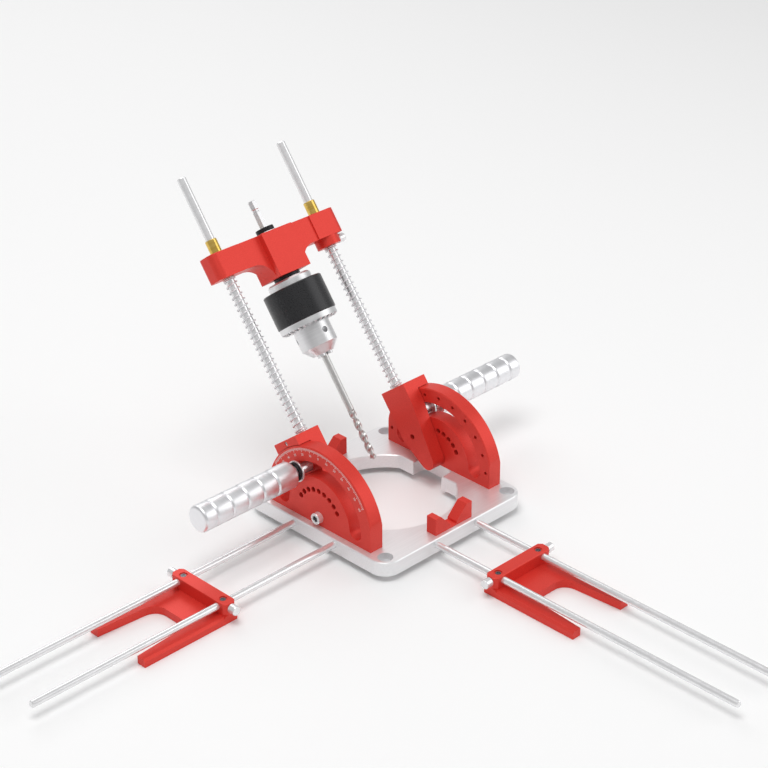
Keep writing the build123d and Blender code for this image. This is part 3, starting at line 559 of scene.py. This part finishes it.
for side_name in ("left", "right"):
    node = f"{side_name}_spring"
    rod_x = middle_x(f"{side_name}_guide_rod")
    coil_bottom, coil_top = reach(node, up_rods)
    spring = stand(coil_spring(coil_bottom, coil_top), rod_x)
    piece = finish_piece(
        f"{node}_coil", spring, "tilt_frame", spring_metal, sharp_degrees=60.0
    )
    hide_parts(node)
    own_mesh(piece)

# Clamp handles
# Turned and polished aluminium bars that screw onto the studs and pinch the arms against the
# protractors. Ring grooves give them a grip, and a bright and a black washer lie under each.
handle_metal = grained_material(
    "polished_handle",
    colour=(0.88, 0.88, 0.90, 1.0),
    metallic=1.0,
    roughness=0.3,
    grain_mm=(0.35, 40.0, 40.0),
    dark=(0.83, 0.83, 0.85, 1.0),
    light=(0.89, 0.89, 0.91, 1.0),
    roughness_range=(0.33, 0.42),
    relief_mm=0.01,
    relief_strength=0.05,
)
groove_count = 5
groove_pitch = 16.5
first_groove_inset = 13.0
groove_depth = 1.1
groove_half_width = 1.1
groove_mouth_share = 1.6
groove_flank_share = 0.7
neck_radius = 6.4
neck_length = 4.8
neck_break = 0.4
shoulder_radius = 1.2
rim_radius = 2.5


def quarter_round(centre_radius, centre_height, radius, start, steps=6):
    """Points of a quarter circle in an outline, from start degrees on."""
    angles = [radians(start + 90 * step / steps) for step in range(steps + 1)]
    return [(centre_radius + radius * cos(a), centre_height + radius * sin(a)) for a in angles]


def handle_outline(inner, outer, radius):
    """The handle from its neck to its end: a shoulder, ring grooves and a rounded rim."""
    outline = [(0, inner), (neck_radius - neck_break, inner), (neck_radius, inner + neck_break)]
    shoulder = inner + neck_length
    outline += [(neck_radius, shoulder), (radius - shoulder_radius, shoulder)]
    outline += quarter_round(radius - shoulder_radius, shoulder + shoulder_radius, shoulder_radius, -90)
    first = outer - first_groove_inset - groove_pitch * (groove_count - 1)
    mouth = groove_mouth_share * groove_half_width
    flank = groove_flank_share * groove_half_width
    flank_radius = radius - groove_flank_share * groove_depth
    for groove in range(groove_count):
        middle = first + groove * groove_pitch
        outline += [
            (radius, middle - mouth),
            (flank_radius, middle - flank),
            (radius - groove_depth, middle),
            (flank_radius, middle + flank),
            (radius, middle + mouth),
        ]
    outline += quarter_round(radius - rim_radius, outer - rim_radius, rim_radius, 0)
    outline.append((0, outer))
    return outline


for side_name, outwards in (("left", leftwards), ("right", rightwards)):
    node = f"{side_name}_handle"
    body = f"{side_name}_handle_body"
    handle_low, handle_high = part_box(node)
    centre_line = (handle_low + handle_high) / 2
    centre_line.x = 0
    inner, outer = reach(node, outwards, centre_line)
    handle = turned_shape(handle_outline(inner, outer, half_width(node, "z")), facets=72)
    bmesh.ops.transform(handle, matrix=standing_at(centre_line, outwards), verts=handle.verts)
    piece = finish_piece(
        f"{node}_turned", handle, body, handle_metal, sharp_degrees=40.0
    )
    weigh_normals(piece, "even_lands")
    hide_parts(node)
    machined_copy(f"{side_name}_clamp_stud", body, rod_metal, edge_mm=0.3, steps=1)
    machined_copy(f"{side_name}_bright_washer", "tilt_frame", rod_metal, edge_mm=0.3)
    machined_copy(f"{side_name}_black_washer", "tilt_frame", black_oxide, edge_mm=0.3)

# Carriage
# A bar of red anodised aluminium with a lobe on each guide rod and a deep square boss for the
# spindle. Arches under the webs take weight out of it.
machined_copy("carriage", "carriage_body", red_finish, edge_mm=0.5, steps=3)

# Bushes and bearings
# Polished brass bushes, pressed into the carriage's lobes, run on the guide rods. Two shielded
# ball bearings, pressed into the ends of the boss, carry the spindle.
brass = grained_material(
    "brass",
    colour=(0.78, 0.53, 0.12, 1.0),
    metallic=1.0,
    roughness=0.2,
    grain_mm=(30.0, 30.0, 0.5),
    dark=(0.70, 0.45, 0.08, 1.0),
    light=(0.84, 0.60, 0.18, 1.0),
    roughness_range=(0.15, 0.26),
    tilt=-rod_lean,
)
bush_clearance = 0.05
bush_break = 0.4
for side_name in ("left", "right"):
    node = f"{side_name}_bush"
    bush_bottom, bush_top = reach(node, up_rods)
    bush_bore = guide_rod_radius + bush_clearance
    outline = turned_ring(bush_bore, half_width(node, "x"), bush_bottom, bush_top, bush_break)
    bush = stand(turned_shape(outline, facets=48), middle_x(node))
    piece = finish_piece(f"{node}_turned", bush, "carriage_body", brass)
    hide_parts(node)

chuck_metal = grained_material(
    "turned_steel",
    colour=(0.78, 0.78, 0.79, 1.0),
    metallic=1.0,
    roughness=0.28,
    grain_mm=(25.0, 25.0, 0.9),
    dark=(0.75, 0.75, 0.76, 1.0),
    light=(0.80, 0.80, 0.81, 1.0),
    roughness_range=(0.34, 0.42),
    relief_mm=0.01,
    relief_strength=0.04,
    tilt=-rod_lean,
)
for node in ("lower_bearing", "upper_bearing"):
    machined_copy(node, "carriage_body", chuck_metal, edge_mm=0.2, steps=1)

# Spindle
# A ground steel shaft in the bearings, with a grooved hexagon shank on top for the drill driver,
# held by a bright washer and a dark collar above and a dark flange under the boss.
spindle_foot, spindle_tip = reach("spindle", up_rods)
shaft_radius = 5.0
shaft_break = 0.4
ring_break = 0.3
shank_length = 25.0
shank_overlap = 1.0
shank_flats = 6.35
shank_break = 0.7
shank_groove_inset = 9.0
shank_groove_depth = 0.7
shank_groove_half_width = 1.4
shank_groove_half_floor = 0.7
shaft_top = spindle_tip - shank_length
shank_corner = shank_flats / 2 / cos(radians(30))
groove_middle = spindle_tip - shank_groove_inset
shank_outline = [
    (0, shaft_top - shank_overlap),
    (shank_corner, shaft_top - shank_overlap),
    (shank_corner, groove_middle - shank_groove_half_width),
    (shank_corner - shank_groove_depth, groove_middle - shank_groove_half_floor),
    (shank_corner - shank_groove_depth, groove_middle + shank_groove_half_floor),
    (shank_corner, groove_middle + shank_groove_half_width),
    (shank_corner, spindle_tip - shank_break),
    (shank_corner - shank_break, spindle_tip),
    (0, spindle_tip),
]
shaft_outline = turned_bar(shaft_radius, spindle_foot, shaft_top, shaft_break)
shaft = stand(turned_shape(shaft_outline, facets=48), 0)
piece = finish_piece("spindle_turned", shaft, "spindle_body", chuck_metal)
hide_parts("spindle")
shank = stand(turned_shape(shank_outline, facets=6), 0)
finish_piece(
    "spindle_hex_shank", shank, "spindle_body", chuck_metal, sharp_degrees=25.0
)
for node, ring_metal, ring_slot in (
    ("top_washer", rod_metal, "chuck_steel"),
    ("top_collar", black_oxide, "black_oxide"),
    ("lower_flange", black_oxide, "black_oxide"),
):
    ring_bottom, ring_top = reach(node, up_rods)
    outline = turned_ring(shaft_radius, half_width(node, "x"), ring_bottom, ring_top, ring_break)
    ring = stand(turned_shape(outline, facets=64), 0)
    piece = finish_piece(f"{node}_turned", ring, "spindle_body", ring_metal)
    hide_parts(node)

# Chuck
# A keyed three-jaw chuck: a turned steel body with a rear disc and a nose with three key holes, a
# black sleeve, and under it a ring gear of bevel teeth that a chuck key turns.
machined_copy("chuck_body", "spindle_body", chuck_metal, edge_mm=0.3)
sleeve_finish = grained_material(
    "black_sleeve",
    colour=(0.02, 0.02, 0.022, 1.0),
    metallic=0.3,
    roughness=0.3,
    grain_mm=(0.8, 0.8, 0.8),
    dark=(0.016, 0.016, 0.018, 1.0),
    light=(0.028, 0.028, 0.03, 1.0),
    roughness_range=(0.25, 0.36),
)
sleeve_bore = 17.0
sleeve_break = 0.8
sleeve_radius = half_width("chuck_sleeve", "x")
sleeve_bottom, sleeve_top = reach("chuck_sleeve", up_rods)
sleeve_outline = turned_ring(sleeve_bore, sleeve_radius, sleeve_bottom, sleeve_top, sleeve_break)
sleeve = stand(turned_shape(sleeve_outline, facets=96), 0)
piece = finish_piece("chuck_sleeve_turned", sleeve, "sleeve_body", sleeve_finish)
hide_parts("chuck_sleeve")
machined_copy("chuck_ring_gear", "sleeve_body", chuck_metal, edge_mm=0.15, steps=1)
machined_copy("chuck_nut", "sleeve_body", chuck_metal, edge_mm=0.2, steps=1)
for jaw_number in (1, 2, 3):
    jaw_body = f"jaw_{jaw_number}_body"
    machined_copy(f"chuck_jaw_{jaw_number}", jaw_body, chuck_metal, edge_mm=0.1, steps=1)

# Drill bit
# A 6 mm high-speed-steel twist bit: two ground helical flutes below a plain shank, and a blunt
# point. The jaws grip it by the shank.
bit_metal = grained_material(
    "ground_bit_steel",
    colour=(0.62, 0.61, 0.60, 1.0),
    metallic=0.9,
    roughness=0.34,
    grain_mm=(0.4, 0.4, 3.0),
    dark=(0.55, 0.54, 0.53, 1.0),
    light=(0.70, 0.69, 0.68, 1.0),
    roughness_range=(0.30, 0.38),
    tilt=-rod_lean,
)
bit_radius = 3.0
bit_break = 0.4
half_web = 0.9
land_edge = 28
land_step = 14
hollow_steps = 4
flute_pitch = 22.0
flute_top = 68.0
flute_step = 10
point_height = 1.8
chisel_share = 0.1


def bit_section():
    """The fluted outline: two round lands with a shallow hollow between them on either side."""
    corners = []
    land_x = bit_radius * cos(radians(land_edge))
    land_y = bit_radius * sin(radians(land_edge))
    for turn in (1, -1):
        for degree in range(-land_edge, land_edge + 1, land_step):
            angle = radians(degree)
            corners.append((turn * bit_radius * cos(angle), turn * bit_radius * sin(angle)))
        for step in range(hollow_steps - 1, -hollow_steps, -1):
            share = step / hollow_steps
            hollow = half_web + (land_y - half_web) * share**2
            corners.append((turn * share * land_x, turn * hollow))
    return corners


bit_tip, bit_tail = reach("drill_bit", up_rods)
flute_bottom = bit_tip + point_height
bit = bmesh.new()
section = [bit.verts.new((x * mm, y * mm, flute_bottom * mm)) for x, y in bit_section()]
rim = [bit.edges.new(pair) for pair in zip(section, section[1:] + section[:1])]
flute_turn = 360 * (flute_top - flute_bottom) / flute_pitch
flute_steps = round(flute_turn / flute_step)
bmesh.ops.spin(
    bit,
    geom=section + rim,
    cent=(0, 0, 0),
    axis=(0, 0, 1),
    dvec=(0, 0, (flute_top - flute_bottom) / flute_steps * mm),
    angle=radians(flute_turn),
    steps=flute_steps,
)
point = bmesh.ops.extrude_edge_only(bit, edges=rim)["geom"]
chisel = [corner for corner in point if isinstance(corner, bmesh.types.BMVert)]
bmesh.ops.scale(bit, vec=(chisel_share, chisel_share, 1), verts=chisel)
bmesh.ops.translate(bit, vec=(0, 0, -point_height * mm), verts=chisel)
bmesh.ops.holes_fill(bit, edges=[e for e in bit.edges if e.is_boundary], sides=len(section))
bmesh.ops.recalc_face_normals(bit, faces=bit.faces)
piece = finish_piece(
    "drill_bit_fluted", stand(bit, 0), "spindle_body", bit_metal, sharp_degrees=40.0
)
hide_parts("drill_bit")
bit_shank = stand(turned_shape(turned_bar(bit_radius, flute_top, bit_tail, bit_break), facets=40), 0)
finish_piece("drill_bit_shank", bit_shank, "spindle_body", bit_metal)

# Depth stop
# A turned collar of red anodised aluminium on the right guide rod. It slides to the depth that is
# wanted and is clamped there by a thumb screw of bright steel.
machined_copy("depth_stop", "depth_stop_body", red_finish, edge_mm=0.4)
machined_copy("depth_stop_screw", "depth_stop_screw_body", rod_metal, edge_mm=0.3)

# Fences
# Two alike, milled from red anodised aluminium: a crossbar that slides on its pair of rods, over a
# forked plate that reaches outwards. A dark steel screw is let into the bar over each rod, and
# bright thumb screws in the bar's ends lock it.
dark_steel = grained_material(
    "dark_steel",
    colour=(0.16, 0.16, 0.17, 1.0),
    metallic=1.0,
    roughness=0.28,
    grain_mm=(0.8, 0.8, 0.8),
    dark=(0.12, 0.12, 0.13, 1.0),
    light=(0.20, 0.20, 0.21, 1.0),
    roughness_range=(0.22, 0.34),
)
for side_name in ("left", "front"):
    body = f"{side_name}_fence_body"
    bar_screws = f"{side_name}_fence_bar_screws"
    machined_copy(f"{side_name}_fence", body, red_finish, edge_mm=0.45)
    machined_copy(bar_screws, body, dark_steel, edge_mm=0.15, steps=1)
    for screw_number in (1, 2):
        node = f"{side_name}_fence_screw_{screw_number}"
        machined_copy(node, f"{node}_body", rod_metal, edge_mm=0.4)

# Floor, lights and camera
# A plain pale floor just under the fences' plates, an even sky and three soft area lamps: one above,
# one in front and one behind. The camera looks down from the front left, at the photograph's angle.
floor_colour = (0.93, 0.93, 0.93, 1.0)
floor_half_side = 6.0
floor_gap = 0.0002
sky_strength = 0.48
floor_mesh = bpy.data.meshes.new("floor")
floor_shape = bmesh.new()
bmesh.ops.create_grid(floor_shape, x_segments=1, y_segments=1, size=floor_half_side)
bmesh.ops.translate(floor_shape, verts=floor_shape.verts, vec=(0, 0, cad_low.z - floor_gap))
floor_shape.to_mesh(floor_mesh)
floor_shape.free()
floor = bpy.data.objects.new("floor", floor_mesh)
bpy.context.scene.collection.objects.link(floor)
floor_mesh.materials.append(new_material("floor_paint", floor_colour, metallic=0.0, roughness=0.7))

world = bpy.data.worlds.new("studio")
bpy.context.scene.world = world
world.use_nodes = True
sky = world.node_tree.nodes["Background"]
sky.inputs["Color"].default_value = (1, 1, 1, 1)
sky.inputs["Strength"].default_value = sky_strength

for lamp_name, place, size, power in (
    ("key", (-0.5, -0.2, 2.1), 1.2, 20),
    ("fill", (1.4, -1.3, 1.0), 1.5, 9),
    ("back", (0.6, 1.7, 1.5), 1.5, 11),
):
    lamp_data = bpy.data.lights.new(lamp_name, "AREA")
    lamp_data.size = size
    lamp_data.energy = power
    lamp = bpy.data.objects.new(lamp_name, lamp_data)
    lamp.location = place
    lamp.rotation_euler = (-Vector(place)).to_track_quat("-Z", "Y").to_euler()
    bpy.context.scene.collection.objects.link(lamp)

camera_data = bpy.data.cameras.new("camera")
camera_data.lens = 103.38
camera_data.sensor_width = 36.0
camera_data.clip_start = 0.05
camera = bpy.data.objects.new("camera", camera_data)
camera_right = Vector((0.70874, -0.70547, -0.00175))
camera_up = Vector((0.33695, 0.33633, 0.87940))
camera_back = Vector((-0.61980, -0.62386, 0.47607))
camera_place = Matrix.Translation((-1.1337, -1.1395, 0.9865))
camera_turn = Matrix((camera_right, camera_up, camera_back)).transposed().to_4x4()
camera.matrix_world = camera_place @ camera_turn
bpy.context.scene.collection.objects.link(camera)
bpy.context.scene.camera = camera
bpy.context.scene.view_settings.view_transform = "Standard"
